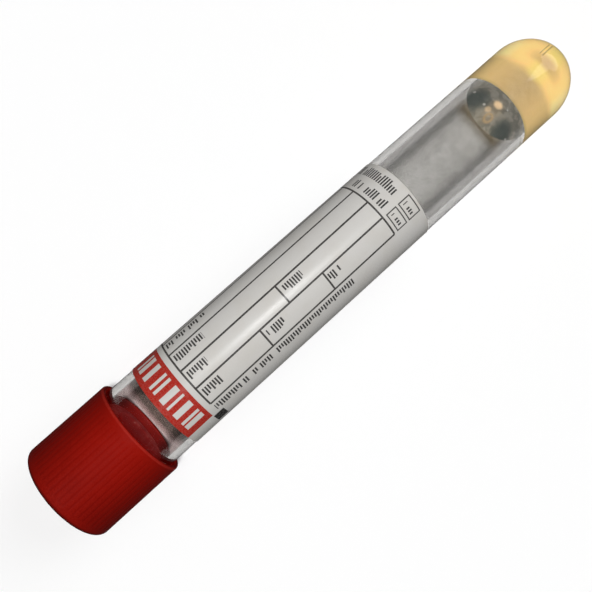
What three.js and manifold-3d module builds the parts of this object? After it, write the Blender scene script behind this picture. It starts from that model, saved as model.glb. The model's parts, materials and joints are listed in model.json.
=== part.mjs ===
// Blood collection tube: a closed round-bottomed plastic tube with separator gel, lying at rest.
// Units are millimetres and +Z is up. The tube runs along X, with its closure at the -X end.
//
// Every piece but the label's slit and the cap's grooves is turned, so each one is drawn as a half
// section: "radius" is the distance from the tube's axis, and "along" is the distance from the
// outer end face of the cap, growing towards the round bottom.

import * as THREE from 'three';
import { mergeVertices } from 'three/addons/utils/BufferGeometryUtils.js';
import Module from 'manifold-3d';

const manifold = await Module();
manifold.setup();

// ---- Driving dimensions ----

// Tube
const tubeLength = 100;
const tubeMouthDiameter = 15;
const tubeDraftDegrees = 0.17;
const tubeWall = 1.15;
const tubeLipRounding = 0.3;

// Separator gel
const gelHeight = 15;
const gelHollowDepth = 3;

// Label
const labelLength = 49.4;
const labelFromMouth = 13.1;
const labelThickness = 0.15;
const labelWrapDegrees = 306;

// Cap
const capLength = 14.7;
const capSkirtWall = 0.65;
const capEndWall = 1.3;
const capEndRounding = 0.6;
const capRimChamfer = 0.25;
const capWebThickness = 1.9;
const needleHoleDiameter = 8.8;

// Grooves round the cap
const grooveCount = 56;
const grooveDepth = 0.25;
const grooveWidth = 0.5;
const grooveRootWidth = 0.2;
const grooveFromEnd = 1.5;
const grooveFromRim = 1.4;

// Marker ring in the cap's end
const ringWidth = 2.1;
const ringThickness = 1.3;
const ringBelowFace = 0.4;
const ringChamfer = 0.2;

// Stopper
const flangeThickness = 2;
const flangeRounding = 0.3;
const plugDepth = 7.55;
const plugChamfer = 0.5;
const dimpleDiameter = 6.8;
const dimpleDepth = 0.8;
const recessDiameter = 7.6;
const recessDepth = 4.4;
const recessTaper = 0.4;

// Clearances
const ringClearance = 0.3;
const webToFlange = 0.3;
const flangeToMouth = 0.3;
const flangeToSkirt = 0.3;
const tubeToSkirt = 0.3;
const plugToBore = 0.3;
const gelToWall = 0.3;
const labelToTube = 0.3;

// Facets. Every turned piece has one for each groove, so that the tube and the cap, which both touch
// the surface, lie on facets that face the same way.
const turnSides = grooveCount;
const arcSteps = 8;
const roundingSteps = 3;

// ---- Sizes that follow ----

const radians = THREE.MathUtils.degToRad;
const draft = Math.tan(radians(tubeDraftDegrees));

const ringFloor = ringBelowFace + ringThickness + ringClearance;
const webUnderside = ringFloor + capWebThickness;
const flangeTop = webUnderside + webToFlange;
const flangeUnderside = flangeTop + flangeThickness;
const mouthAt = flangeUnderside + flangeToMouth;
const tipAt = mouthAt + tubeLength;

const mouthRadius = tubeMouthDiameter / 2;
const bottomRadius = (mouthRadius - tubeLength * draft) / (1 - draft);
const bottomCentreAt = tipAt - bottomRadius;
const innerBottomRadius = bottomRadius - tubeWall;
const gelBottomRadius = innerBottomRadius - gelToWall;

const skirtInnerRadius = mouthRadius + tubeToSkirt;
const capRadius = skirtInnerRadius + capSkirtWall;
const ringRecessRadius = capRadius - capEndWall;
const flangeRadius = skirtInnerRadius - flangeToSkirt;
const plugEndAt = flangeUnderside + plugDepth;
const plugRadius = outerRadiusAt(plugEndAt) - tubeWall - plugToBore;

// Half the width of the tube at a place along it, above the round bottom.
function outerRadiusAt(along) {
  return mouthRadius - (along - mouthAt) * draft;
}

// ---- Helpers ----

function at(radius, along) {
  return new THREE.Vector2(radius, along);
}

// Points on an arc of a half section. Zero degrees points away from the axis, 90 along it.
function arc(centreRadius, centreAlong, radius, fromDegrees, toDegrees, steps) {
  const points = [];
  for (let step = 0; step <= steps; step += 1) {
    const angle = radians(fromDegrees + ((toDegrees - fromDegrees) * step) / steps);
    const radiusHere = Math.max(0, centreRadius + radius * Math.cos(angle));
    points.push(at(radiusHere, centreAlong + radius * Math.sin(angle)));
  }
  return points;
}

// Turns a half section round the axis, with the middle of a facet facing straight down.
function turned(profile) {
  return new THREE.LatheGeometry(profile, turnSides, Math.PI / turnSides);
}

// Turns a half section that doesn't touch the axis, so it is drawn back to its first point.
function turnedRing(profile) {
  return turned([...profile, profile[0].clone()]);
}

function solidFrom(geometry) {
  const bare = geometry.index ? geometry.clone() : mergeVertices(geometry);
  bare.deleteAttribute('normal');
  bare.deleteAttribute('uv');
  const merged = mergeVertices(bare, 1e-5);
  const mesh = new manifold.Mesh({
    numProp: 3,
    vertProperties: new Float32Array(merged.attributes.position.array),
    triVerts: new Uint32Array(merged.index.array),
  });
  mesh.merge();
  return new manifold.Manifold(mesh);
}

function geometryFrom(solid) {
  const mesh = solid.getMesh();
  const geometry = new THREE.BufferGeometry();
  geometry.setAttribute('position', new THREE.BufferAttribute(mesh.vertProperties, 3));
  geometry.setIndex(new THREE.BufferAttribute(mesh.triVerts, 1));
  geometry.computeVertexNormals();
  return geometry;
}

function piece(name, geometry, material) {
  const mesh = new THREE.Mesh(geometry, material);
  mesh.name = name;
  return mesh;
}

// ---- Pieces ----

function makeTube() {
  const lipInnerRadius = mouthRadius - tubeWall;
  const lipAt = mouthAt + tubeLipRounding;
  const profile = [
    ...arc(0, bottomCentreAt, innerBottomRadius, 90, 0, arcSteps),
    ...arc(lipInnerRadius + tubeLipRounding, lipAt, tubeLipRounding, 180, 270, roundingSteps),
    ...arc(mouthRadius - tubeLipRounding, lipAt, tubeLipRounding, 270, 360, roundingSteps),
    ...arc(0, bottomCentreAt, bottomRadius, 0, 90, arcSteps),
  ];
  const material = new THREE.MeshStandardMaterial({
    color: 0xdfe3e0,
    roughness: 0.08,
    metalness: 0,
    transparent: true,
    opacity: 0.35,
  });
  return piece('tube', turned(profile), material);
}

// The gel wets the wall, so its surface is a dish whose rim lies highest.
function makeSeparatorGel() {
  const rimAt = tipAt - gelHeight;
  const rimRadius = outerRadiusAt(rimAt) - tubeWall - gelToWall;
  const dishRadius = (rimRadius ** 2 + gelHollowDepth ** 2) / (2 * gelHollowDepth);
  const dishCentreAt = rimAt + gelHollowDepth - dishRadius;
  const rimDegrees = THREE.MathUtils.radToDeg(Math.asin((rimAt - dishCentreAt) / dishRadius));
  const profile = [
    ...arc(0, dishCentreAt, dishRadius, 90, rimDegrees, arcSteps),
    ...arc(0, bottomCentreAt, gelBottomRadius, 0, 90, arcSteps),
  ];
  const material = new THREE.MeshStandardMaterial({ color: 0xd6ab62, roughness: 0.25, metalness: 0 });
  return piece('separator_gel', turned(profile), material);
}

// A sleeve that follows the tube's taper, slit open along its underside.
function makeLabel() {
  const startAt = mouthAt + labelFromMouth;
  const endAt = startAt + labelLength;
  const innerStart = outerRadiusAt(startAt) + labelToTube;
  const innerEnd = outerRadiusAt(endAt) + labelToTube;
  const sleeve = turnedRing([
    at(innerStart, startAt),
    at(innerStart + labelThickness, startAt),
    at(innerEnd + labelThickness, endAt),
    at(innerEnd, endAt),
  ]);

  const halfSlit = radians((360 - labelWrapDegrees) / 2);
  const past = 2 * mouthRadius;
  const wedge = new THREE.Shape([
    at(0, 0),
    at(-past * Math.tan(halfSlit), -past),
    at(past * Math.tan(halfSlit), -past),
  ]);
  const slit = new THREE.ExtrudeGeometry(wedge, { depth: 2 * labelLength, bevelEnabled: false });
  slit.applyMatrix4(new THREE.Matrix4().makeBasis(
    new THREE.Vector3(-1, 0, 0),
    new THREE.Vector3(0, 0, 1),
    new THREE.Vector3(0, 1, 0),
  ));
  slit.translate(0, startAt - labelLength / 2, 0);

  const solid = solidFrom(sleeve).subtract(solidFrom(slit));
  const material = new THREE.MeshStandardMaterial({ color: 0xd2d2d0, roughness: 0.5, metalness: 0 });
  return piece('label', geometryFrom(solid), material);
}

// One groove of the cap: a tapered slot that runs along the axis and opens outwards.
function grooveCutter(angle) {
  const rootRadius = capRadius - grooveDepth;
  const outsideRadius = capRadius + grooveDepth;
  const widening = grooveWidth - grooveRootWidth;
  const section = new THREE.Shape([
    at(rootRadius, -grooveRootWidth / 2),
    at(outsideRadius, -grooveRootWidth / 2 - widening),
    at(outsideRadius, grooveRootWidth / 2 + widening),
    at(rootRadius, grooveRootWidth / 2),
  ]);
  const length = capLength - grooveFromEnd - grooveFromRim;
  const cutter = new THREE.ExtrudeGeometry(section, { depth: length, bevelEnabled: false });
  cutter.applyMatrix4(new THREE.Matrix4().makeBasis(
    new THREE.Vector3(Math.sin(angle), 0, Math.cos(angle)),
    new THREE.Vector3(Math.cos(angle), 0, -Math.sin(angle)),
    new THREE.Vector3(0, 1, 0),
  ));
  cutter.translate(0, grooveFromEnd, 0);
  return solidFrom(cutter);
}

// Every groove lies in the middle of a facet.
function makeCap() {
  const endCentre = capRadius - capEndRounding;
  const body = turnedRing([
    ...arc(endCentre, capEndRounding, capEndRounding, 270, 360, roundingSteps),
    at(capRadius, capLength - capRimChamfer),
    at(capRadius - capRimChamfer, capLength),
    at(skirtInnerRadius, capLength),
    at(skirtInnerRadius, webUnderside),
    at(needleHoleDiameter / 2, webUnderside),
    at(needleHoleDiameter / 2, ringFloor),
    at(ringRecessRadius, ringFloor),
    at(ringRecessRadius, 0),
  ]);

  let solid = solidFrom(body);
  for (let index = 0; index < grooveCount; index += 1) {
    solid = solid.subtract(grooveCutter((index * 2 * Math.PI) / grooveCount));
  }
  const material = new THREE.MeshStandardMaterial({ color: 0xb01c16, roughness: 0.38, metalness: 0 });
  return piece('cap', geometryFrom(solid), material);
}

function makeMarkerRing() {
  const outer = ringRecessRadius - ringClearance;
  const inner = outer - ringWidth;
  const near = ringBelowFace;
  const far = ringBelowFace + ringThickness;
  const profile = [
    at(inner + ringChamfer, near),
    at(outer - ringChamfer, near),
    at(outer, near + ringChamfer),
    at(outer, far),
    at(inner, far),
    at(inner, near + ringChamfer),
  ];
  const material = new THREE.MeshStandardMaterial({ color: 0xe0a92a, roughness: 0.4, metalness: 0 });
  return piece('marker_ring', turnedRing(profile), material);
}

// A flange that lies over the tube's mouth, and a plug that fills its bore. The dimple outside and
// the recess inside leave a thin middle for the needle.
function makeStopper() {
  const recessRadius = recessDiameter / 2;
  const dimpleRadius = dimpleDiameter / 2;
  const flangeEdge = flangeRadius - flangeRounding;
  const underEdgeAt = flangeUnderside - flangeRounding;
  const profile = [
    at(0, flangeTop + dimpleDepth),
    at(dimpleRadius - dimpleDepth, flangeTop + dimpleDepth),
    at(dimpleRadius, flangeTop),
    ...arc(flangeEdge, flangeTop + flangeRounding, flangeRounding, 270, 360, roundingSteps),
    ...arc(flangeEdge, underEdgeAt, flangeRounding, 0, 90, roundingSteps),
    at(plugRadius, flangeUnderside),
    at(plugRadius, plugEndAt - plugChamfer),
    at(plugRadius - plugChamfer, plugEndAt),
    at(recessRadius, plugEndAt),
    at(recessRadius - recessTaper, plugEndAt - recessDepth),
    at(0, plugEndAt - recessDepth),
  ];
  const material = new THREE.MeshStandardMaterial({ color: 0x6b1414, roughness: 0.6, metalness: 0 });
  return piece('stopper', turned(profile), material);
}

// ---- The object at rest ----

// The cap is wider than the tube, so the axis slopes down to the round bottom until both touch
// the surface. This is the slope at which a circle at the cap's rim and the ball of the bottom
// share one level plane.
function restSlope() {
  const span = bottomCentreAt - (capLength - capRimChamfer);
  return Math.acos(bottomRadius / Math.hypot(capRadius, span)) - Math.atan2(span, capRadius);
}

const vessel = new THREE.Group();
vessel.add(makeTube(), makeSeparatorGel(), makeLabel());

const closure = new THREE.Group();
closure.add(makeCap(), makeMarkerRing(), makeStopper());

const laidAlongX = new THREE.Group();
laidAlongX.add(vessel, closure);
laidAlongX.rotation.z = -Math.PI / 2;

const sloped = new THREE.Group();
sloped.add(laidAlongX);
sloped.rotation.y = restSlope();

// The origin is at the middle of the footprint, on the surface that the tube lies on.
const bloodCollectionTube = new THREE.Group();
bloodCollectionTube.add(sloped);
bloodCollectionTube.updateMatrixWorld(true);
const extent = new THREE.Box3().setFromObject(bloodCollectionTube, true);
const middle = extent.getCenter(new THREE.Vector3());
sloped.position.set(-middle.x, -middle.y, -extent.min.z);
bloodCollectionTube.updateMatrixWorld(true);

export default bloodCollectionTube;
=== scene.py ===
# %% [markdown]
# # A blood collection tube, lying at rest
#
# The CAD model already says how big the tube is, where each piece sits and how the closure
# slides off. It comes in as a fixed frame that nothing here may move. This lesson gives that
# frame its looks: each piece is built again as a finer mesh, in the same place and at the same
# size, and gets a procedural finish.

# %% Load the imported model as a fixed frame
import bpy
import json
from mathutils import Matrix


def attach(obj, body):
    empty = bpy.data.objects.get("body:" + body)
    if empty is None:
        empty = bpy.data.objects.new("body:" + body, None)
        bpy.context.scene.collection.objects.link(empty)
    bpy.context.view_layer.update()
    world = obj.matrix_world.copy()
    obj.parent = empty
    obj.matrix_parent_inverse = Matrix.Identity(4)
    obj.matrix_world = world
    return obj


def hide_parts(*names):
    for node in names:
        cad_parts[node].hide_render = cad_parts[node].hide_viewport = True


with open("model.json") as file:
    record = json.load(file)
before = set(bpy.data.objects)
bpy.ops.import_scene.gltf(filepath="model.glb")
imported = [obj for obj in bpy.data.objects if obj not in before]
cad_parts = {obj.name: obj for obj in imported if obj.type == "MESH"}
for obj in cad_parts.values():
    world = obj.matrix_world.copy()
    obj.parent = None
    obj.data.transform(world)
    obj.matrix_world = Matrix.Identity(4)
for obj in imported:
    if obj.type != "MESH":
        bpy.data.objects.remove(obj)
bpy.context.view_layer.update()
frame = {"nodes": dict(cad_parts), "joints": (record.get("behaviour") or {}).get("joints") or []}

# %% [markdown]
# ## The tube's own frame
#
# Every piece but the label is turned round one axis, and that axis slopes a little, because the
# cap is wider than the tube. It is far easier to work in the tube's own frame: how far along the
# axis a point lies, how far to its side, and how far up from it. The closure's joint gives the
# direction of the axis, and the middle of any turned piece gives a point on it.

# %% Find the axis
import json
import math

import bmesh
import bpy
import numpy as np
from mathutils import Matrix, Vector

MM = 0.001

axis = -Vector(frame["joints"][0]["axis"]).normalized()
sideways = Vector((0, 1, 0))
upward = axis.cross(sideways)


def cad_points(node):
    return np.array([vertex.co for vertex in frame["nodes"][node].data.vertices])


middle = Vector(cad_points("tube").mean(axis=0))
cap_end = (cad_points("cap") @ np.array(axis)).min()
start = middle + axis * (cap_end - middle.dot(axis))
print("the axis slopes by", round(math.degrees(math.asin(-axis.z)), 3), "degrees")
print("it leaves the cap's end face, in mm, at", [round(x / MM, 2) for x in start])

# %% [markdown]
# The CAD pieces are faceted, but their corners lie on the true circles, so the sizes can be read
# from them. A round mesh of that radius would reach past the flat of a facet, and through the
# floor by a hair, so the visible pieces are made smaller by the height of one facet's bulge.

# %% Read sizes from the CAD
NEAR = 0.02
FACETS = 56
INSIDE_FACETS = math.cos(math.pi / FACETS) - 0.0002


class HalfSection:
    """The corners of a turned CAD piece, each as its radius and its place along the axis, in mm."""

    def __init__(self, node):
        offset = (cad_points(node) - np.array(start)) / MM
        self.along = offset @ np.array(axis)
        self.radius = np.linalg.norm(offset - np.outer(self.along, axis), axis=1)
        self.first = float(self.along.min())
        self.last = float(self.along.max())

    def radii(self, low, high):
        """The smallest and largest radius of the corners that lie between low and high."""
        found = self.radius[(self.along > low - NEAR) & (self.along < high + NEAR)]
        return float(found.min()), float(found.max())

    def places(self, low, high):
        """The first and last place of the corners whose radius is between low and high."""
        found = self.along[(self.radius > low - NEAR) & (self.radius < high + NEAR)]
        return float(found.min()), float(found.max())


cad = {name: HalfSection(name) for name in frame["nodes"]}
for name, piece in sorted(cad.items()):
    radii = [round(r, 2) for r in piece.radii(piece.first, piece.last)]
    print(f"{name}: {piece.first:.2f} to {piece.last:.2f} mm along, radius {radii[0]} to {radii[1]}")

# %% [markdown]
# ## From a section to a mesh
#
# A section is a list of corners. Moulded plastic and rubber have no truly sharp corner, so each
# corner comes with the radius of its rounding, and one function puts the arcs in. A bevel on the
# finished mesh would also round it, but an arc in the section is exact and costs fewer points.

# %% Outlines with rounded corners
ARC_STEP = math.radians(10)


def rounded(corners):
    """Corners are (radius, along, rounding) in mm. Returns the points of the rounded outline."""
    outline = []
    for index, (radius, along, rounding) in enumerate(corners):
        corner = np.array([radius, along], float)
        if rounding == 0:
            outline.append(corner)
            continue
        before = np.array(corners[index - 1][:2]) - corner
        after = np.array(corners[(index + 1) % len(corners)][:2]) - corner
        before /= np.linalg.norm(before)
        after /= np.linalg.norm(after)
        half = math.acos(before @ after) / 2
        middle = (before + after) / np.linalg.norm(before + after)
        centre = corner + middle * rounding / math.sin(half)
        first = corner + before * rounding / math.tan(half) - centre
        last = corner + after * rounding / math.tan(half) - centre
        sweep = math.copysign(math.pi - 2 * half, first[0] * last[1] - first[1] * last[0])
        steps = max(2, round(abs(sweep) / ARC_STEP))
        for angle in np.linspace(0, sweep, steps + 1):
            cosine, sine = math.cos(angle), math.sin(angle)
            outline.append(centre + np.array([[cosine, -sine], [sine, cosine]]) @ first)
    return outline


def arc(centre, radius, degrees):
    """Points on a circle round the axis point at centre, at these angles from straight out."""
    return [
        np.array([max(0.0, radius * math.cos(angle)), centre + radius * math.sin(angle)])
        for angle in np.radians(degrees)
    ]


def evenly(outline, step):
    """The same outline with long straight stretches cut into lengths of at most step."""
    finer = [outline[0]]
    for here in outline[1:]:
        count = max(1, math.ceil(np.linalg.norm(here - finer[-1]) / step))
        finer += list(np.linspace(finer[-1], here, count + 1)[1:])
    return finer


print("a square corner gets", len(rounded([(0, 0, 0), (5, 0, 1), (5, 5, 0)])) - 2, "points")

# %% [markdown]
# Blender's Screw modifier could turn the outline into a piece. Here the points are worked out in
# Python instead, because a function can then move the radius as it goes round, which the ribs of
# the cap need. Each piece is attached to the body that it rides on as it is made, and the CAD
# piece that it takes the place of is hidden.

# %% Pieces from points and faces
SHARP = math.radians(50)
ON_AXIS = 1e-6


def in_frame(along, side, up):
    """Places in the tube's own frame, in mm, as points of the shared frame, in metres."""
    offset = np.outer(along, axis) + np.outer(side, sideways) + np.outer(up, upward)
    return np.array(start) + offset * MM


def make_piece(name, points, faces, body, slot, replaces=()):
    """A mesh object that rides on a CAD body and stands for the CAD nodes that it replaces."""
    mesh = bpy.data.meshes.new(name)
    mesh.from_pydata(points.tolist(), [], faces)
    editable = bmesh.new()
    editable.from_mesh(mesh)
    bmesh.ops.recalc_face_normals(editable, faces=editable.faces)
    editable.to_mesh(mesh)
    editable.free()
    mesh.polygons.foreach_set("use_smooth", [True] * len(mesh.polygons))
    mesh.set_sharp_from_angle(angle=SHARP)
    made = bpy.data.objects.new(name, mesh)
    bpy.context.scene.collection.objects.link(made)
    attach(made, body)
    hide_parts(*replaces)
    triangles = sum(len(face) - 2 for face in faces)
    print(f"{name}: {len(points)} points, {triangles} triangles")
    return made


def turned(outline, sides, reshape=None):
    """Turns an outline of (radius, along) in mm round the axis. Returns points and faces.

    Outlines that start and end on the axis are solids, and others close on themselves.
    reshape gets a row's radius, its place along and its angles from straight up, and returns the
    radius at each angle."""
    points, rows = [], []
    angles = np.linspace(0, 2 * math.pi, sides, endpoint=False)
    for radius, along in outline:
        turns = angles if radius > ON_AXIS else angles[:1]
        radii = reshape(radius, along, turns) if reshape else np.full(len(turns), radius)
        places = np.full(len(turns), along)
        rows.append(range(len(points), len(points) + len(turns)))
        points += list(in_frame(places, radii * np.sin(turns), radii * np.cos(turns)))
    pairs = list(zip(rows, rows[1:]))
    if outline[0][0] > ON_AXIS:
        pairs.append((rows[-1], rows[0]))
    faces = []
    for here, there in pairs:
        for side in range(sides):
            after = (side + 1) % sides
            ring = [here[side % len(here)], here[after % len(here)]]
            ring += [there[after % len(there)], there[side % len(there)]]
            faces.append(list(dict.fromkeys(ring)))
    return np.array(points), faces

# %% [markdown]
# ## Shader maths as Python
#
# Node trees are easier to read as formulas. A small class stands for one output socket and turns
# Python's operators into Math nodes. Any other node comes from one method of the finish that is
# being made: it takes the node's type, its settings, and the values or links of its sockets.

# %% Sockets that can be added and multiplied
def operator(operation, reflected=False):
    def apply(self, other):
        pair = (other, self) if reflected else (self, other)
        return self.finish.math(operation, *pair)

    return apply


class Socket:
    """One output of a node. Operators on it add Math nodes to the same tree."""

    def __init__(self, finish, output):
        self.finish = finish
        self.output = output

    __add__ = operator("ADD")
    __sub__ = operator("SUBTRACT")
    __rsub__ = operator("SUBTRACT", reflected=True)
    __mul__ = operator("MULTIPLY")
    __rmul__ = operator("MULTIPLY", reflected=True)
    __truediv__ = operator("DIVIDE")
    __pow__ = operator("POWER")
    __gt__ = operator("GREATER_THAN")
    __lt__ = operator("LESS_THAN")

    def also(self, name):
        """Another output of the same node."""
        return Socket(self.finish, self.output.node.outputs[name])

    def either(self, other):
        """The larger of two values, which joins two masks."""
        return self.finish.math("MAXIMUM", self, other)

    def between(self, low, high):
        """1 from low to high, and 0 outside."""
        return self.finish.math("COMPARE", self, (low + high) / 2, (high - low) / 2)

    def off(self, middle):
        """How far the value is from middle, either way."""
        return self.finish.math("ABSOLUTE", self - middle)

    def whole(self):
        """The whole number below the value."""
        return self.finish.math("FLOOR", self)

    def ramp(self, low, high, to_low=0.0, to_high=1.0):
        """Rises smoothly from to_low to to_high as the value goes from low to high."""
        limits = {"Value": self, "From Min": low, "From Max": high}
        limits |= {"To Min": to_low, "To Max": to_high}
        return self.finish.node("ShaderNodeMapRange", {"interpolation_type": "SMOOTHSTEP"}, limits)


class Finish:
    """The nodes of a material, or of the world, while they are being made."""

    def __init__(self, owner):
        owner.use_nodes = True
        self.owner = owner
        self.tree = owner.node_tree
        self.tree.nodes.clear()

    def node(self, kind, settings=None, sockets=None, output=0):
        """Adds a node. Its settings come first, then the values or links of its sockets."""
        made = self.tree.nodes.new(kind)
        for name, value in (settings or {}).items():
            setattr(made, name, value)
        for name, value in (sockets or {}).items():
            if isinstance(value, Socket):
                self.tree.links.new(value.output, made.inputs[name])
            else:
                made.inputs[name].default_value = value
        return Socket(self, made.outputs[output]) if made.outputs else None

    def math(self, operation, *values):
        return self.node("ShaderNodeMath", {"operation": operation}, dict(enumerate(values)))

    def mix(self, factor, first, second):
        """A colour that goes from first to second as factor goes from 0 to 1."""
        sockets = {"Factor": factor, 6: first, 7: second}
        return self.node("ShaderNodeMix", {"data_type": "RGBA"}, sockets, output=2)

    def find_place(self):
        """Sets along, side and up: the place of the point in the tube's own frame, in mm."""
        here = self.node("ShaderNodeTexCoord", output="Object")
        places = []
        for direction in (axis, sideways, upward):
            sockets = {0: here, 1: direction}
            length = self.node("ShaderNodeVectorMath", {"operation": "DOT_PRODUCT"}, sockets, "Value")
            places.append((length - start.dot(direction)) / MM)
        self.along, self.side, self.up = places

    def radius(self):
        """The distance from the tube's axis, in mm."""
        return (self.side * self.side + self.up * self.up) ** 0.5

    def noise(self, size, detail=2.0, stretch=1.0, seed=0.0):
        """Noise from 0 to 1 in blobs of about size mm, drawn out along the tube by stretch."""
        place = {0: self.along / stretch, 1: self.side, 2: self.up}
        place = self.node("ShaderNodeCombineXYZ", {}, place)
        sockets = {"Vector": place, "W": seed, "Scale": 1 / size, "Detail": detail}
        blobs = self.node("ShaderNodeTexNoise", {"noise_dimensions": "4D"}, sockets)
        return blobs.ramp(0.3, 0.7)

    def chance(self, cell, seed):
        """A random number from 0 to 1 for each whole number of cell."""
        place = self.node("ShaderNodeCombineXYZ", {}, {0: cell, 1: seed})
        settings = {"noise_dimensions": "2D"}
        return self.node("ShaderNodeTexWhiteNoise", settings, {"Vector": place}, output="Value")

    def bump(self, height, depth):
        """A normal that dents the surface by depth mm where height goes from 1 to 0."""
        return self.node("ShaderNodeBump", {}, {"Height": height, "Distance": depth * MM})

    def shiny(self, **sockets):
        """A Principled shader. Names of sockets have _ in place of a space."""
        named = {name.replace("_", " "): value for name, value in sockets.items()}
        return self.node("ShaderNodeBsdfPrincipled", {}, named)

    def done(self, shader, output="ShaderNodeOutputMaterial"):
        self.node(output, {}, {"Surface": shader})
        print(f"{self.owner.name}: {len(self.tree.nodes)} nodes")
        return self.owner


def join(masks):
    """The largest of several masks at each point, so that any of them counts."""
    joined = masks[0]
    for mask in masks[1:]:
        joined = joined.either(mask)
    return joined


def new_finish(name):
    finish = Finish(bpy.data.materials.new(name))
    finish.find_place()
    return finish


def srgb(red, green, blue):
    """A colour as a paint program shows it, from 0 to 255, as the light that it sends back."""
    shown = [x / 255 for x in (red, green, blue)]
    linear = [x / 12.92 if x <= 0.04045 else ((x + 0.055) / 1.055) ** 2.4 for x in shown]
    return (*linear, 1.0)

# %% [markdown]
# ## Camera, floor and light
#
# The camera is close, almost straight above the tube, so both ends lean away from it and the
# dark under the cap shows through the neck. A long lens from far off would flatten all that. Its
# place is given in the tube's own frame, because its distance from the tube is what counts.

# %% Camera
EYE = (36.0, 0.0, 94.0)
AIM = (46.09, -0.91, 0.0)
ROLL_DEGREES = 41.82
SENSOR = 36.0
FOCAL_LENGTH = 35.81

eye, aim = (Vector(in_frame(*place)[0]) for place in (EYE, AIM))
look = (aim - eye).normalized()
tube_in_view = (axis - look * axis.dot(look)).normalized()
across_view = tube_in_view.cross(look)
roll = math.radians(ROLL_DEGREES)
to_right = tube_in_view * math.cos(roll) - across_view * math.sin(roll)
to_top = to_right.cross(look)

camera = bpy.data.objects.new("camera", bpy.data.cameras.new("camera"))
camera.data.sensor_width = SENSOR
camera.data.lens = FOCAL_LENGTH
camera.data.clip_start = 1 * MM
turned_to = Matrix((to_right, to_top, -look)).transposed().to_4x4()
camera.matrix_world = Matrix.Translation(eye) @ turned_to
bpy.context.scene.collection.objects.link(camera)
bpy.context.scene.camera = camera
print("the camera is", round((eye - aim).length / MM, 1), "mm from where it looks")

# %% [markdown]
# The tube lies on a wide white floor that keeps its shadow. White paper would also light the tube
# from below and mirror in its glossy wall, which lays a grey veil over the dark red cap. So the
# floor is white for what looks at it, straight or through the clear wall, and dim for light that
# bounces or mirrors off it.

# %% Floor
FLOOR_RADIUS = 2.0
FLOOR_SIDES = 64
FLOOR_WHITE, FLOOR_DIM = (0.985, 0.985, 0.985, 1), (0.12, 0.12, 0.12, 1)

turns = np.linspace(0, 2 * math.pi, FLOOR_SIDES, endpoint=False)
floor_mesh = bpy.data.meshes.new("floor")
edge = [(FLOOR_RADIUS * math.cos(turn), FLOOR_RADIUS * math.sin(turn), 0) for turn in turns]
floor_mesh.from_pydata(edge, [], [range(len(edge))])
floor = bpy.data.objects.new("floor", floor_mesh)
bpy.context.scene.collection.objects.link(floor)

paper = Finish(bpy.data.materials.new("floor_white"))
white, dim = (
    paper.shiny(Base_Color=colour, Roughness=0.9, Specular_IOR_Level=0.0)
    for colour in (FLOOR_WHITE, FLOOR_DIM)
)
ray = paper.node("ShaderNodeLightPath", output="Is Transmission Ray")
mirrored = ray.also("Is Glossy Ray") * (1 - ray)
bounce = ray.also("Is Diffuse Ray").either(mirrored)
surface = paper.node("ShaderNodeMixShader", {}, {0: bounce, 1: white, 2: dim})
floor_mesh.materials.append(paper.done(surface))

# %% [markdown]
# A sun lamp lights every part of a scene alike, and its angle says how soft its shadows are. One
# soft sun stands overhead. A weak, very wide one shines low from the round end and fills the
# shadow side. The world is white where the camera looks past the floor, and where it looks
# straight through the clear wall. To everything else it is nearly dark, for the same reason as
# the floor. The Standard view shows white as white.

# %% Lamps and world
KEY_LIGHT, KEY_WIDTH, KEY_LEAN = 0.87, 10, 4
LOW_LIGHT, LOW_WIDTH, LOW_LEAN = 0.16, 40, 55
FILL_LIGHT = 0.05


def add_lamp(name, strength, width_degrees, lean_degrees):
    """A sun this strong and this wide, which leans from straight overhead towards the round end."""
    lamp = bpy.data.objects.new(name, bpy.data.lights.new(name, "SUN"))
    lamp.data.energy = strength * math.pi
    lamp.data.angle = math.radians(width_degrees)
    lean = math.radians(lean_degrees)
    shining = -axis * math.sin(lean) - upward * math.cos(lean)
    lamp.rotation_mode = "QUATERNION"
    lamp.rotation_quaternion = shining.to_track_quat("-Z", "Y")
    bpy.context.scene.collection.objects.link(lamp)


add_lamp("overhead_lamp", KEY_LIGHT, KEY_WIDTH, KEY_LEAN)
add_lamp("low_lamp", LOW_LIGHT, LOW_WIDTH, LOW_LEAN)
print("two lamps of strength", KEY_LIGHT, "and", LOW_LIGHT, "over a fill of", FILL_LIGHT)

room = Finish(bpy.data.worlds.new("white_room"))
ray = room.node("ShaderNodeLightPath", output="Is Camera Ray")
straight = ray.also("Is Transmission Ray") * (ray.also("Glossy Depth") < 0.5)
seen = ray.either(straight)
light = seen * (1 - FILL_LIGHT) + FILL_LIGHT
air = room.node("ShaderNodeBackground", {}, {"Color": (1, 1, 1, 1), "Strength": light})
bpy.context.scene.world = room.done(air, "ShaderNodeOutputWorld")
bpy.context.scene.view_settings.view_transform = "Standard"

# %% [markdown]
# ## The tube
#
# The tube is moulded PET: an even wall, a slight taper so that it leaves its mould, and a round
# bottom. The outline runs over the outside from the bottom to the mouth, round the lip, and back
# down the bore.

# %% Tube mesh
TUBE_SIDES = 192
LIP_ROUNDING = 0.35
WALL_STEP = 6
OUTSIDE_STEPS, INSIDE_STEPS = 46, 31

tube = cad["tube"]
gel = cad["separator_gel"]
halfway = (tube.first + tube.last) / 2
mouth_radius = tube.radii(tube.first, halfway)[1]
bottom_radius = tube.radii(halfway, tube.last)[1]
tips = tube.places(0, 0)
wall = tips[1] - tips[0]
bottom_centre = tube.last - bottom_radius
draft = (mouth_radius - bottom_radius) / (bottom_centre - tube.first)
print(f"wall {wall:.2f} mm, mouth radius {mouth_radius:.2f}, bottom radius {bottom_radius:.2f}")


def tube_radius(along):
    return (mouth_radius - draft * (along - tube.first)) * INSIDE_FACETS


def bore_radius(along):
    return tube_radius(along) - wall


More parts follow.
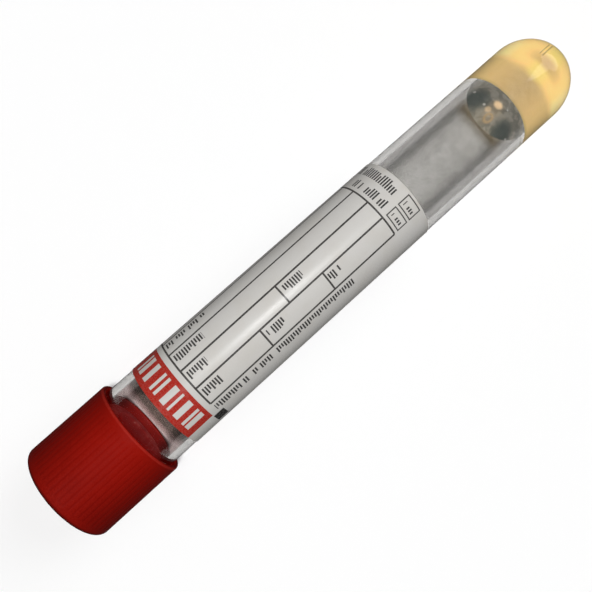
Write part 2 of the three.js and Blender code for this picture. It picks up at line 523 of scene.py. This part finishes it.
bottom_outside = tube_radius(bottom_centre)
bottom_inside = bore_radius(bottom_centre)
barrel = rounded([
    (bottom_outside, bottom_centre, 0),
    (tube_radius(tube.first), tube.first, LIP_ROUNDING),
    (bore_radius(tube.first), tube.first, LIP_ROUNDING),
    (bottom_inside, bottom_centre, 0),
])
outside_bottom = arc(bottom_centre, bottom_outside, np.linspace(90, 0, OUTSIDE_STEPS))
inside_bottom = arc(bottom_centre, bottom_inside, np.linspace(0, 90, INSIDE_STEPS))
outline = outside_bottom + evenly(barrel, WALL_STEP)[1:-1] + inside_bottom
tube_piece = make_piece(
    "clear_tube", *turned(outline, TUBE_SIDES), "vessel", "clear_plastic", ["tube"]
)

# %% [markdown]
# The plastic is clear, so almost all of its look is what it bends: the floor, the shadow below
# it and the far wall. A Principled shader with full transmission does that. Blender gives clear
# things a full shadow, which is far too dark here, so the rays that carry the lamp's light pass
# straight through instead, losing a little at each wall and more where they graze it.
#
# The real tube's bore is sprayed with a clot activator. It dries to a thin grey film with soft
# blotches, drawn out along the tube, and it is a second material on the faces of the bore. Where
# the view grazes the film it goes darker, partly for the longer path through it and partly as
# painted shade. In the neck the wall carries a painted pink reflection of the stopper, and painted
# shade beside the label, where little light gets in. Over the hollow part the outer wall carries
# painted grey shade, for the dim surroundings seen through it. A fine double line near the round
# end is the mark of the mould's gate.

# %% Clear plastic
CLEAR_TINT = (0.97, 0.97, 0.96, 1)
# Painted shade: the grey that the outer wall gets over the hollow part.
HOLLOW_SHADE_TINTS = (0.53, 0.52, 0.505, 1), (0.61, 0.60, 0.585, 1)
FILM_TINTS = (0.80, 0.79, 0.78, 1), (1.0, 0.995, 0.99, 1)
FILM_EDGE, FILM_SHARPEST = 1.5, 0.33
# Painted pink reflection of the stopper in the neck, then painted shade beside the label.
STOPPER_PINK_REFLECTION, DEEP_PINK_REFLECTION = (1.0, 0.80, 0.79, 1), (0.26, 0.15, 0.145, 1)
SHADE_TINT = (0.05, 0.035, 0.028, 1)
CLEAR_NECK, DEEP_PINK, SHADE, LABEL_HIDES = (17.4, 18.0), (17.4, 18.2), (18.1, 18.6), (19.4, 20.4)
LAMP_THROUGH_WALL, LAMP_THROUGH_FILM = (0.97, 0.97, 0.97, 1), (0.97, 0.97, 0.96, 1)
PET_IOR = 1.575
GATE_LINES = ((1.58, 0.20), (2.10, 0.14))
GATE_ENDS = (100.2, 103.6)
GATE_TINT = (0.12, 0.09, 0.04, 1)


def clear_plastic(name, tint, lamp_tint, mark_depth):
    """Glass-like plastic for a finish whose tint is made by a function of that finish."""
    finish = new_finish(name)
    scuffs = finish.noise(0.5, stretch=12, detail=4) ** 4
    line = 0
    for middle, reach in GATE_LINES:
        line = finish.side.off(middle).ramp(0, reach, 1, 0) + line
    mark = line * finish.along.between(*GATE_ENDS) * (finish.up > 0)
    glass = finish.shiny(
        Base_Color=finish.mix(0.85 * mark, tint(finish), GATE_TINT),
        Roughness=0.02,
        IOR=PET_IOR,
        Transmission_Weight=1.0,
        Normal=finish.bump(1 - mark - 0.02 * scuffs, mark_depth),
    )
    ray = finish.node("ShaderNodeLightPath", output="Is Shadow Ray")
    facing = finish.node("ShaderNodeLayerWeight", {}, {"Blend": 0.5}, output="Facing")
    passing = ray.either(ray.also("Is Diffuse Ray")) * (1 - facing ** 3)
    clear = finish.node("ShaderNodeBsdfTransparent", {}, {"Color": lamp_tint})
    return finish.done(finish.node("ShaderNodeMixShader", {}, {0: passing, 1: glass, 2: clear}))


def painted_hollow_shade(finish):
    """Painted shade: the grey over the hollow part, for the dim surroundings seen through it. The gel
    backs the wall and the neck is clear.
    """
    grey = finish.mix(finish.noise(5, stretch=4), *HOLLOW_SHADE_TINTS)
    backed = finish.along.ramp(gel.first - 0.6, gel.first + 0.2)
    neck = finish.along.ramp(*CLEAR_NECK, 1, 0) * finish.side.off(0).ramp(4, 5.5, 1, 0)
    return finish.mix(backed.either(neck), grey, CLEAR_TINT)


def film_with_painted_shade(finish):
    """The film's blotches, the painted pink reflection and painted shade of the neck, and a fall-off
    to the sides that is partly painted shade.
    """
    blotches = 0.65 * finish.noise(1.6, stretch=1.5, detail=4) + 0.35 * finish.noise(0.45, seed=3)
    film = finish.mix(blotches, *FILM_TINTS)
    # Painted pink reflection of the stopper, going into painted shade beside the label.
    neck = finish.mix(finish.along.ramp(*DEEP_PINK), STOPPER_PINK_REFLECTION, DEEP_PINK_REFLECTION)
    neck = finish.mix(finish.along.ramp(*SHADE), neck, SHADE_TINT)
    film = finish.mix(finish.along.ramp(*LABEL_HIDES, 1, 0), film, neck)
    # Darker where the view grazes the film: partly its longer path, partly painted shade.
    facing = finish.node("ShaderNodeLayerWeight", {}, {"Blend": 0.5}, output="Facing")
    facing = facing.ramp(0, FILM_SHARPEST, 0, FILM_SHARPEST)
    return finish.mix(1 - (1 - facing) ** FILM_EDGE, film, (0, 0, 0, 1))


plain_wall = clear_plastic("clear_pet", painted_hollow_shade, LAMP_THROUGH_WALL, 0.05)
coated_wall = clear_plastic("coated_pet", film_with_painted_shade, LAMP_THROUGH_FILM, 0.01)
tube_piece.data.materials.append(plain_wall)
tube_piece.data.materials.append(coated_wall)


def place_of(face):
    """How far along the axis and how far from it a face's centre lies, in mm."""
    offset = (Vector(face.center) - start) / MM
    along = offset.dot(axis)
    return along, (offset - axis * along).length


coated = 0
for face in tube_piece.data.polygons:
    along, radius = place_of(face)
    if radius < tube_radius(along) - wall / 2 and along < gel.first:
        face.material_index = 1
        coated += 1
print(coated, "faces of the bore carry the film")

# %% [markdown]
# ## The separator gel
#
# The gel is poured in soft and wets the wall, so its surface is a dish whose rim lies highest.
# The outline could stop at the wall, but a film of air would then mirror the light and hide the
# gel. So it sinks a hair into the plastic, and its true colour shows through, as it does where the
# real gel sticks to the tube.

# %% Gel mesh
GEL_SIDES = 160
SUNK = 0.03
DISH_POWER = 2.2
DISH_ROWS, SIDE_ROWS = 30, 12

rim = gel.first
dish_bottom = gel.places(0, 0)[0]
print(f"gel rim at {rim:.2f}, dish bottom at {dish_bottom:.2f}, tip at {gel.last:.2f}")
rim_radius = bore_radius(rim) + SUNK
dish = [
    np.array([rim_radius * reach, dish_bottom + (rim - dish_bottom) * reach ** DISH_POWER])
    for reach in np.linspace(0, 1, DISH_ROWS)
]
stations = np.linspace(rim, bottom_centre, SIDE_ROWS)[1:-1]
side = [np.array([bore_radius(along) + SUNK, along]) for along in stations]
bottom = arc(bottom_centre, bottom_inside + SUNK, np.linspace(0, 90, INSIDE_STEPS))
gel_piece = make_piece(
    "gel_plug", *turned(dish + side + bottom, GEL_SIDES), "vessel", "gel", ["separator_gel"]
)

# %% [markdown]
# The gel is a cloudy tan paste. Light scatters a long way in it and gathers in the round bottom,
# which glows yellow in a band and along its edge, with a tan crescent between. Tracing all that
# scattering would be slow and noisy. So a little subsurface scattering is helped by painted light:
# the yellow band, the paler edge and the lighter sides are painted light, the tan crescent is
# painted shade, and a weak glow of its own stands in for the scattered light. Part of the lamp's
# light passes on to the floor.

# %% Gel finish
# The paste's colours, and the painted light and shade of the round bottom: lit edge, band, crescent.
TAN, PALE_TAN, LIT_EDGE_TAN = srgb(196, 166, 116), srgb(204, 176, 126), srgb(240, 204, 142)
YELLOW, AMBER, PALE_YELLOW = srgb(250, 220, 130), srgb(250, 208, 136), srgb(255, 236, 180)
SHADED_TAN = srgb(216, 178, 120)
LAMP_TINT = (1.0, 0.95, 0.86, 1)
LAMP_PASSES = 0.72
GLOW_BAND, PIPED_BAND = (96.1, 97.7), (95.5, 98.5)
CRESCENT_RISE, CRESCENT_FALL = (98.8, 100.1), (100.6, 102.0)
BEND = 0.03


def part_way(finish, shader):
    """Lets part of a lamp's light through a cloudy piece, so that its shadow isn't black."""
    passing = LAMP_PASSES * finish.node("ShaderNodeLightPath", output="Is Shadow Ray")
    clear = finish.node("ShaderNodeBsdfTransparent", {}, {"Color": LAMP_TINT})
    return finish.node("ShaderNodeMixShader", {}, {0: passing, 1: shader, 2: clear})


finish = new_finish("gel_body")
aside = finish.side.off(0)
tail = finish.along + 0.25 * finish.noise(3, detail=1)
# Painted light: a yellow band round the bottom. Painted shade: a tan crescent beyond it.
lit_band = (tail - BEND * aside ** 2).ramp(*GLOW_BAND)
bent = tail + BEND * aside ** 2
shaded_crescent = (bent.ramp(*CRESCENT_RISE) - bent.ramp(*CRESCENT_FALL)) * aside.ramp(0, 4.2, 1, 0)
paste = finish.mix(finish.noise(1.1, detail=4), TAN, PALE_TAN)
# Painted light: the paste is lighter towards the sides.
paste = finish.mix(aside.ramp(0, 5), paste, LIT_EDGE_TAN)
# The colours of the painted light in the band, paler at the edge, with the shaded crescent.
painted_glow = finish.mix(aside.ramp(0.4, 2.6), YELLOW, AMBER)
painted_glow = finish.mix(aside.ramp(4, 6), painted_glow, PALE_YELLOW)
painted_glow = finish.mix(shaded_crescent, painted_glow, SHADED_TAN)
# Painted glow in the band and at the sides, in place of light scattered through the gel.
painted_glow_mask = tail.ramp(*PIPED_BAND) * (1 - shaded_crescent) * aside.ramp(0, 5.5, 0.06, 1)
painted_glow_mask = painted_glow_mask.either(aside.ramp(2.5, 6, 0, 0.42))
grain = finish.noise(0.35, detail=3, seed=5)
gel_body = finish.done(part_way(finish, finish.shiny(
    Base_Color=finish.mix(lit_band, paste, painted_glow),
    Roughness=grain.ramp(0, 1, 0.28, 0.42),
    Specular_IOR_Level=0.1,
    Subsurface_Weight=0.3,
    Subsurface_Radius=(1.0, 0.7, 0.3),
    Subsurface_Scale=0.001,
    Emission_Color=finish.mix(painted_glow_mask, (0, 0, 0, 1), YELLOW),
    Emission_Strength=0.4,
    Normal=finish.bump(grain, 0.01),
)))
gel_piece.data.materials.append(gel_body)

# %% [markdown]
# The dish is wet and looks into the dark bore. Its glossy grey-green is a painted reflection of
# that bore, with two darker lobes of painted reflection and a tan middle of painted light from the
# gel below. One round bubble has a rim of painted tan highlight, two bright spots of painted light
# glow where light would come up through it, and a few white glints are painted highlights. The
# whole dish also glows a little with its own colour. Each is an oval mask in the tube's own frame,
# which is simpler to place than a picture. The dish is a second material on the faces that lie
# on it.

# %% Dish finish
# Painted reflection of the dark bore, painted light from the gel, and painted highlights.
DISH_REFLECTED_GREYS = (0.40, 0.39, 0.34, 1), (0.60, 0.57, 0.49, 1)
REFLECTED_LOBE_GREY, DISH_LIT_TAN = (0.17, 0.20, 0.19, 1), (0.90, 0.72, 0.48, 1)
DISH_SPOT, GLINT_WHITE = (1.0, 0.70, 0.40, 1), (0.9, 0.9, 0.86, 1)
GLOW_SHARE = 0.34
LOBE_SIZE, GLINT_SIZE = 2.3, 0.22
GLINT_PLACES = ((4.9, -1.6), (-5.3, -2.9), (-1.4, -1.0), (2.2, -3.4))
BUBBLE_SIDE, BUBBLE_UP, BUBBLE_RADIUS = -0.15, -4.6, 0.65

finish = new_finish("gel_dish")


def oval(side, up, wide, tall):
    """1 in the middle of an oval with these half sizes, fading to 0 round its edge."""
    away = ((finish.side - side) / wide) ** 2 + ((finish.up - up) / tall) ** 2
    return away.ramp(0.1, 1.7, 1, 0)


# Painted reflection of the dark bore: the grey-green and its two darker lobes.
surface = finish.mix(finish.noise(1.5, detail=2, seed=2).ramp(0.3, 0.7), *DISH_REFLECTED_GREYS)
reflected_lobes = oval(4.1, -3.0, LOBE_SIZE, LOBE_SIZE).either(oval(-4.1, -3.8, LOBE_SIZE, LOBE_SIZE))
surface = finish.mix(reflected_lobes, surface, REFLECTED_LOBE_GREY)
# Painted light: the tan middle.
surface = finish.mix(0.35 * oval(0.2, -3.0, 1.3, 2.8), surface, DISH_LIT_TAN)
# A bubble whose rim carries a painted tan highlight.
away = ((finish.side - BUBBLE_SIDE) ** 2 + (finish.up - BUBBLE_UP) ** 2) ** 0.5
lit_bubble_rim = away.off(BUBBLE_RADIUS).ramp(0.05, 0.35, 1, 0)
surface = finish.mix(0.5 * lit_bubble_rim, surface, TAN)
# Painted light: two bright spots, and the bubble's rim.
spots = oval(0.35, -1.9, 0.85, 0.75).either(0.5 * oval(1.05, -3.7, 0.6, 0.5)).either(0.25 * lit_bubble_rim)
# Painted highlights: small white glints.
glints = join([oval(side, up, GLINT_SIZE, GLINT_SIZE) for side, up in GLINT_PLACES])
surface = finish.mix(glints, surface, GLINT_WHITE)
ripple = finish.noise(1.8, detail=2, seed=1)
# Painted glow: a share of the dish's own colour.
painted_glow = finish.mix(GLOW_SHARE, (0, 0, 0, 1), surface)
gel_dish = finish.done(part_way(finish, finish.shiny(
    Base_Color=surface,
    Roughness=ripple.ramp(0, 1, 0.06, 0.16),
    Specular_IOR_Level=0.5,
    Emission_Color=finish.mix(spots, painted_glow, DISH_SPOT),
    Emission_Strength=1.0,
    Normal=finish.bump(ripple.either(lit_bubble_rim), 0.15),
)))
gel_piece.data.materials.append(gel_dish)

dish_faces = 0
for face in gel_piece.data.polygons:
    along, radius = place_of(face)
    surface_here = dish_bottom + (rim - dish_bottom) * (radius / rim_radius) ** DISH_POWER
    if radius < rim_radius - SUNK and abs(along - surface_here) < 0.3:
        face.material_index = 1
        dish_faces += 1
print(dish_faces, "faces of the gel are its dish")

# %% [markdown]
# ## The label
#
# The label is a strip of coated paper that was rolled round the tube, so it is a sleeve with a gap
# along its underside and visible edges. A sheet with a Solidify modifier would do too, but here
# the mesh is a plain grid of rows along the tube and columns round it, once for the printed face
# and once for the glued one, with strips that close the rim. The CAD keeps the label a little off
# the wall, so that its solids don't touch. Here it lies on the wall, as the real one does.

# %% Label mesh
LABEL_HALF_DEGREES = 153
LABEL_GAP = 0.01
LABEL_THICK = 0.085
COLUMNS = 240
ROWS = 24

label = cad["label"]
turns = np.radians(np.linspace(-LABEL_HALF_DEGREES, LABEL_HALF_DEGREES, COLUMNS))
points = []
for layer in (LABEL_GAP + LABEL_THICK, LABEL_GAP):
    for along in np.linspace(label.first, label.last, ROWS):
        radius = tube_radius(along) + layer
        stations = np.full(COLUMNS, along)
        points += list(in_frame(stations, radius * np.sin(turns), radius * np.cos(turns)))

grid = np.arange(2 * ROWS * COLUMNS).reshape(2, ROWS, COLUMNS)


def strips(rows_or_columns):
    """Faces between each line of point numbers and the next one."""
    return [
        [int(a), int(b), int(c), int(d)]
        for here, there in zip(rows_or_columns, rows_or_columns[1:])
        for a, b, c, d in zip(here, here[1:], there[1:], there)
    ]


faces = strips(grid[0]) + strips(grid[1])
for edge in (grid[:, 0], grid[:, -1], grid[:, :, 0], grid[:, :, -1]):
    faces += strips(edge)
label_piece = make_piece("paper_label", np.array(points), faces, "vessel", "label_film", ["label"])

# %% [markdown]
# The print is drawn with masks: 1 where there is ink and 0 where there is paper. A picture of the
# label would be quicker, but masks stay sharp from close by and need no file. A place on the label
# is how far along the tube it lies, and how far round the tube from the top, in mm. The label went
# on a little askew, which the print shows.
#
# Most of it is a ruled form with five rows, and two small boxes stand beyond its far end.

# %% Ruled form
SKEW = 0.0116
SKEW_FROM = 44.2
LINE = 0.15
FORM = (25.45, 63.06)
FORM_ROWS = 5
LOWEST_LINE = 4.30
ROW_HEIGHT = 3.34
DIVIDERS = ((1, 37.92), (1, 50.55), (2, 43.95))
BOXES, BOX_SIDES, BOX_LINE = ((63.7, 65.8), (66.2, 68.6)), (1.0, 4.3), 0.2

finish = new_finish("label_paper")
label_radius = tube_radius(SKEW_FROM) + LABEL_GAP + LABEL_THICK
along = finish.along
turn = finish.math("ARCTAN2", 0 - finish.side, finish.up)
across = turn * label_radius + SKEW * (along - SKEW_FROM)


def box(first, last, low, high):
    return along.between(first, last) * across.between(low, high)


rows = [across.off(LOWEST_LINE - ROW_HEIGHT * row) < LINE for row in range(FORM_ROWS + 1)]
rules = [join(rows) * along.between(*FORM)]
form_top = LOWEST_LINE - FORM_ROWS * ROW_HEIGHT
rules += [(along.off(end) < LINE) * across.between(form_top, LOWEST_LINE) for end in FORM]
for row, place in DIVIDERS:
    bottom_line = LOWEST_LINE - (row - 1) * ROW_HEIGHT
    rules.append((along.off(place) < LINE) * across.between(bottom_line - ROW_HEIGHT, bottom_line))
low, high = BOX_SIDES
for first, last in BOXES:
    middle = box(first + BOX_LINE, last - BOX_LINE, low + BOX_LINE, high - BOX_LINE)
    rules.append(box(first, last, low, high) - middle)
rules = join(rules)
print("the form has", FORM_ROWS, "rows,", len(DIVIDERS), "dividers and", len(BOXES), "boxes")

# %% [markdown]
# The real label carries captions, numbers and small print. Rows of short strokes stand for them,
# and plain bars for the large letters in the red block, so the print says nothing. The black
# square is the mark that the printing press lines up on.

# %% Captions and blocks
CAPTIONS = (
    (4, 25.9, 34.0), (3, 25.9, 31.3), (2, 25.8, 29.4), (2, 44.3, 48.2),
    (1, 25.9, 29.3), (1, 38.5, 41.8), (1, 50.9, 53.2),
)
STROKE_PITCH, STROKE_PART, STROKES_MISSING = 0.48, (0.08, 0.66), 0.14
RED_BLOCK = (19.0, 24.4, -16.0, 6.4)
BLACK_SQUARE = (24.4, 26.3, 6.8, 9.1)
BARS = ((-8.4, 0.25), (-7.3, 0.45), (-5.5, 0.45), (-3.6, 0.25), (-2.6, 0.25), (-0.9, 0.5))
BARS += ((0.4, 0.2), (2.0, 0.5), (3.6, 0.25), (4.6, 0.45))
BAR_ENDS = (20.5, 23.7)


def strokes(run, rise, first, last, low, high, seed):
    """A line of short strokes of uneven height, set out along run and standing up along rise."""
    cell = run / STROKE_PITCH
    number = cell.whole()
    there = finish.chance(number, seed) > STROKES_MISSING
    stroke = (cell - number).between(*STROKE_PART) * there
    height = finish.chance(number, seed + 40).ramp(0.3, 0.7, 0.68, 1) * (high - low)
    tall = (rise > low) * ((rise - low) < height)
    return run.between(first, last) * tall * stroke


captions = [strokes(along, across, 25.6, 53.6, 4.95, 6.15, 11)]
captions += [
    strokes(along, across, first, last, top + 0.65, top + 2.0, 10 * row)
    for row, first, last in CAPTIONS
    for top in [LOWEST_LINE - ROW_HEIGHT * row]
]
captions += [
    strokes(across, along, -7.4, -0.1, 63.8, 65.4, 71),
    strokes(across, along, -9.4, -0.1, 66.4, 68.2, 72),
    strokes(across, along, 1.6, 3.8, 64.3, 65.2, 73),
    strokes(across, along, 1.6, 3.8, 66.8, 67.7, 74),
]
print(len(captions), "lines of strokes and", len(BARS), "bars")
captions = join(captions)

bars = join([across.off(middle) < reach for middle, reach in BARS]) * along.between(*BAR_ENDS)
red = box(*RED_BLOCK) * (1 - bars)
black = box(*BLACK_SQUARE)

# %% [markdown]
# The ink is never quite even: it thins over the paper's fibres. The paper is smooth and slightly
# glossy, so it shows a soft streak where the lamp mirrors in it, with tiny dimples from the
# fibres. It has gone a little yellow along its cut edges, where fingers have touched it.

# %% Label finish
PAPER, SOILED_PAPER = (0.62, 0.605, 0.58, 1), (0.56, 0.53, 0.48, 1)
GREY_INK, FINE_INK = srgb(66, 63, 62), srgb(58, 56, 56)
RED_INK, BLACK_INK = srgb(170, 33, 18), srgb(30, 28, 28)

fibres = finish.noise(0.18, detail=3)
clouds = finish.noise(4, detail=3, seed=4)
edges = along.ramp(label.first, label.first + 1.2, 1, 0)
edges = edges.either(along.ramp(label.last - 1.2, label.last))
soiled = (0.5 * clouds + 0.6 * edges * finish.noise(1.2, seed=8)) ** 1.5
surface = finish.mix(soiled, PAPER, SOILED_PAPER)
for mask, ink in ((rules, GREY_INK), (captions, FINE_INK), (red, RED_INK), (black, BLACK_INK)):
    surface = finish.mix(mask * fibres.ramp(0, 1, 1, 0.93), surface, ink)
label_paper = finish.done(finish.shiny(
    Base_Color=surface,
    Roughness=fibres.ramp(0, 1, 0.22, 0.30) - 0.04 * red,
    Specular_IOR_Level=0.11,
    Normal=finish.bump(0.6 * fibres + 0.4 * clouds, 0.004),
))
label_piece.data.materials.append(label_paper)

# %% [markdown]
# ## The cap
#
# The cap is a moulded skirt with a web across it. The rubber stopper hangs below the web and a
# ring sits in the end above it. Fine ribs run along the skirt for grip. A bump map would draw
# them too, but not at the skirt's edge, so in the mesh they are soft waves in the radius, one for
# each groove of the CAD, which fade out towards both ends.

# %% Cap mesh
GROOVES = 56
SIDES_PER_RIB = 16
GROOVE_ENDS = (1.5, 13.3)
GROOVE_FADE = 0.3
GROOVE_DEPTH = 0.035
GROOVE_SHARPNESS = 4
END_ROUNDING = 0.8
HAIR = 0.01

cap = cad["cap"]
cap_radius = cap.radii(cap.first, cap.last)[1] * INSIDE_FACETS
skirt_inside = cap.radii(cap.last, cap.last)[0]
recess_radius = cap.radii(cap.first, cap.first)[0]
hole_radius = cap.radii(cap.first, cap.last)[0]
web_first, web_last = cap.places(hole_radius, hole_radius)
print(f"skirt {skirt_inside:.2f}, recess {recess_radius:.2f}, web {web_first:.2f} to {web_last:.2f}")


def ribbed(radius, along, turns):
    """The radius at each turn, with soft grooves between the ribs if this is the outer side."""
    first, last = GROOVE_ENDS
    fade_in = (along - first) / GROOVE_FADE + 0.5
    fade_out = (last - along) / GROOVE_FADE + 0.5
    fade = np.clip(min(fade_in, fade_out), 0, 1) * (radius > cap_radius - HAIR)
    groove = (0.5 + 0.5 * np.cos(GROOVES * turns)) ** GROOVE_SHARPNESS
    return radius - GROOVE_DEPTH * fade * groove


fades = [end + part * GROOVE_FADE for end in GROOVE_ENDS for part in (-0.5, 0, 0.5)]
corners = rounded([
    (cap_radius, cap.first + HAIR, END_ROUNDING),
    *[(cap_radius, along, 0) for along in fades],
    (cap_radius, cap.last, 0.3),
    (skirt_inside, cap.last, 0.2),
    (skirt_inside, web_last, 0.3),
    (hole_radius, web_last, 0.2),
    (hole_radius, web_first, 0.2),
    (recess_radius, web_first, 0.2),
    (recess_radius, cap.first + HAIR, 0.3),
])
outline = evenly(corners + [corners[0]], 3)[:-1]
cap_sides = GROOVES * SIDES_PER_RIB
cap_piece = make_piece(
    "cap_skirt", *turned(outline, cap_sides, ribbed), "closure", "cap_plastic", ["cap"]
)

# %% [markdown]
# The cap is dyed polypropylene, dark red and satin, with the faint cloudiness that a mould
# leaves. Handling polishes the crests of the ribs and leaves fine scuffs round the skirt. Painted
# shade darkens it towards its end, low on its sides and on the rounding of its end, and a painted
# highlight lightens its rim. Its inner side is painted darker, as shade, and gives off a faint red
# glow of its own in place of the light that comes through the thin skirt.

# %% Cap finish
# The cap's red and its wear, with its painted shade and painted highlight.
CAP_RED, CAP_SHADED_RED = (0.285, 0.005, 0.002, 1), (0.165, 0.003, 0.0015, 1)
CAP_WORN, CAP_RIM_HIGHLIGHT = (0.30, 0.010, 0.005, 1), (0.40, 0.030, 0.020, 1)
CAP_SHADY, END_SHADE = (0.09, 0.003, 0.002, 1), (0.04, 0.005, 0.004, 1)
LIT_RIM, SHADED_END, DIM_RIM = (14.3, 14.65), (0.1, 0.8), (13.2, 14.2)

finish = new_finish("cap_red")
clouds = finish.noise(2.5, detail=4)
grain = finish.noise(0.22, detail=3, seed=2)
crest = finish.radius().ramp(cap_radius - GROOVE_DEPTH, cap_radius)
scuffs = finish.noise(0.25, stretch=0.2, detail=4, seed=6) ** 5
# Painted shade: darker towards the end, with random cloudiness.
surface = finish.mix(finish.along.ramp(-2, 15) * 0.8 + 0.2 * clouds, CAP_SHADED_RED, CAP_RED)
surface = finish.mix(crest * (0.4 * grain + 0.1), surface, CAP_WORN)
surface = finish.mix(scuffs * 0.5, surface, CAP_WORN)
# Painted shade low on the sides.
surface = finish.mix(finish.side.off(0).ramp(2, 8.5, 0, 0.5), surface, CAP_SHADY)
# Painted highlight on the rim.
surface = finish.mix(finish.along.between(*LIT_RIM) * (0.4 * grain + 0.2), surface, CAP_RIM_HIGHLIGHT)
# Painted shade on the rounding of the end.
surface = finish.mix(finish.along.ramp(*SHADED_END, 0.9, 0), surface, END_SHADE)
# Painted shade inside the skirt, and a painted glow there in place of light through the thin skirt.
inner_side = (finish.radius() < skirt_inside + 0.1) * (finish.along > web_last)
surface = finish.mix(inner_side * 0.45, surface, CAP_SHADY)
painted_glow = inner_side * finish.along.ramp(*DIM_RIM, 1, 0.45)
cap_red = finish.done(finish.shiny(
    Base_Color=surface,
    Roughness=grain.ramp(0, 1, 0.46, 0.62) - 0.06 * crest,
    Specular_IOR_Level=0.03,
    Emission_Color=finish.mix(painted_glow, (0, 0, 0, 1), CAP_RED),
    Emission_Strength=0.35,
    Normal=finish.bump(0.7 * grain + 0.3 * clouds - scuffs, 0.008),
))
cap_piece.data.materials.append(cap_red)

# %% [markdown]
# ## The marker ring
#
# A ring of golden plastic lies in the recess of the cap's end and marks the kind of tube. It is a
# simple moulding with rounded edges, turned like the others. A sine of the radius, bent by noise,
# draws the flow lines that the mould leaves round it, and specks of dirt lie on it.

# %% Ring
RING_SIDES = 144
GOLD, PALE_GOLD, SPECK_BROWN = srgb(204, 150, 44), srgb(226, 176, 66), srgb(150, 104, 40)

ring = cad["marker_ring"]
ring_inner, ring_outer = ring.radii(ring.first, ring.last)
outline = rounded([
    (ring_outer * INSIDE_FACETS, ring.first, 0.3),
    (ring_outer * INSIDE_FACETS, ring.last, 0.15),
    (ring_inner, ring.last, 0.15),
    (ring_inner, ring.first, 0.3),
])
ring_piece = make_piece(
    "insert_ring", *turned(outline, RING_SIDES), "closure", "ring_plastic", ["marker_ring"]
)

finish = new_finish("ring_gold")
flow = finish.math("SINE", 9 * finish.radius() + 3 * finish.noise(2.5)).ramp(-1, 1)
grain = finish.noise(0.2, detail=3)
specks = finish.noise(0.5, detail=1, seed=7) ** 4
surface = finish.mix(0.6 * flow + 0.4 * grain, GOLD, PALE_GOLD)
surface = finish.mix(specks * 0.6, surface, SPECK_BROWN)
ring_gold = finish.done(finish.shiny(
    Base_Color=surface,
    Roughness=grain.ramp(0, 1, 0.30, 0.46),
    Specular_IOR_Level=0.4,
    Normal=finish.bump(0.5 * flow + 0.5 * grain, 0.01),
))
ring_piece.data.materials.append(ring_gold)

# %% [markdown]
# ## The rubber stopper
#
# The stopper is one piece of dark red butyl rubber. Its flange lies over the tube's mouth and its
# plug fills the bore. It is moulded with a dimple above and a deep recess below, which leave a
# thin middle that a needle can pierce. Rubber is soft and matt, pitted by its mould and dusted
# with the powder that keeps stoppers from sticking together. It sits in the dark under the cap,
# so it gives off some of its own colour, in place of the light that finds its way in there.

# %% Stopper
STOPPER_SIDES = 144
FLANGE_ROUNDING = 0.3
STOPPER_STEP = 0.6
DARK_RUBBER, RED_RUBBER = (0.16, 0.006, 0.006, 1), (0.21, 0.009, 0.008, 1)
POWDER = srgb(196, 130, 120)

stopper = cad["stopper"]
flange_radius = stopper.radii(stopper.first, stopper.last)[1]
flange_last = stopper.places(flange_radius - FLANGE_ROUNDING, flange_radius)[1]
plug_radius = stopper.radii(flange_last, flange_last)[0]
dimple_bottom, hollow_bottom = stopper.places(0, 0)
dimple_radius = stopper.radii(stopper.first, stopper.first)[0]
hollow_radius = stopper.radii(stopper.last, stopper.last)[0]
print(f"flange to {flange_last:.2f}, plug {plug_radius:.2f}, recess from {hollow_bottom:.2f}")
outline = rounded([
    (0, dimple_bottom, 0),
    (dimple_radius - 0.4, dimple_bottom, 0.3),
    (dimple_radius, stopper.first, 0.2),
    (flange_radius * INSIDE_FACETS, stopper.first, FLANGE_ROUNDING),
    (flange_radius * INSIDE_FACETS, flange_last, FLANGE_ROUNDING),
    (plug_radius * INSIDE_FACETS, flange_last, 0.2),
    (plug_radius * INSIDE_FACETS, stopper.last, 0.6),
    (hollow_radius, stopper.last, 0.3),
    (hollow_radius - 0.3, hollow_bottom, 0.4),
    (0, hollow_bottom, 0),
])
outline = evenly(outline, STOPPER_STEP)
stopper_piece = make_piece(
    "rubber_stopper", *turned(outline, STOPPER_SIDES), "closure", "stopper_rubber", ["stopper"]
)

finish = new_finish("stopper_red")
pits = finish.noise(0.3, detail=3)
clouds = finish.noise(2, detail=3, seed=3)
powder = (finish.noise(0.6, detail=5, seed=5) * clouds) ** 3
surface = finish.mix(clouds, DARK_RUBBER, RED_RUBBER)
surface = finish.mix(powder * 0.3, surface, POWDER)
stopper_red = finish.done(finish.shiny(
    Base_Color=surface,
    Roughness=pits.ramp(0, 1, 0.56, 0.76),
    Specular_IOR_Level=0.04,
    Emission_Color=surface,
    Emission_Strength=0.57,
    Normal=finish.bump(pits, 0.02),
))
stopper_piece.data.materials.append(stopper_red)
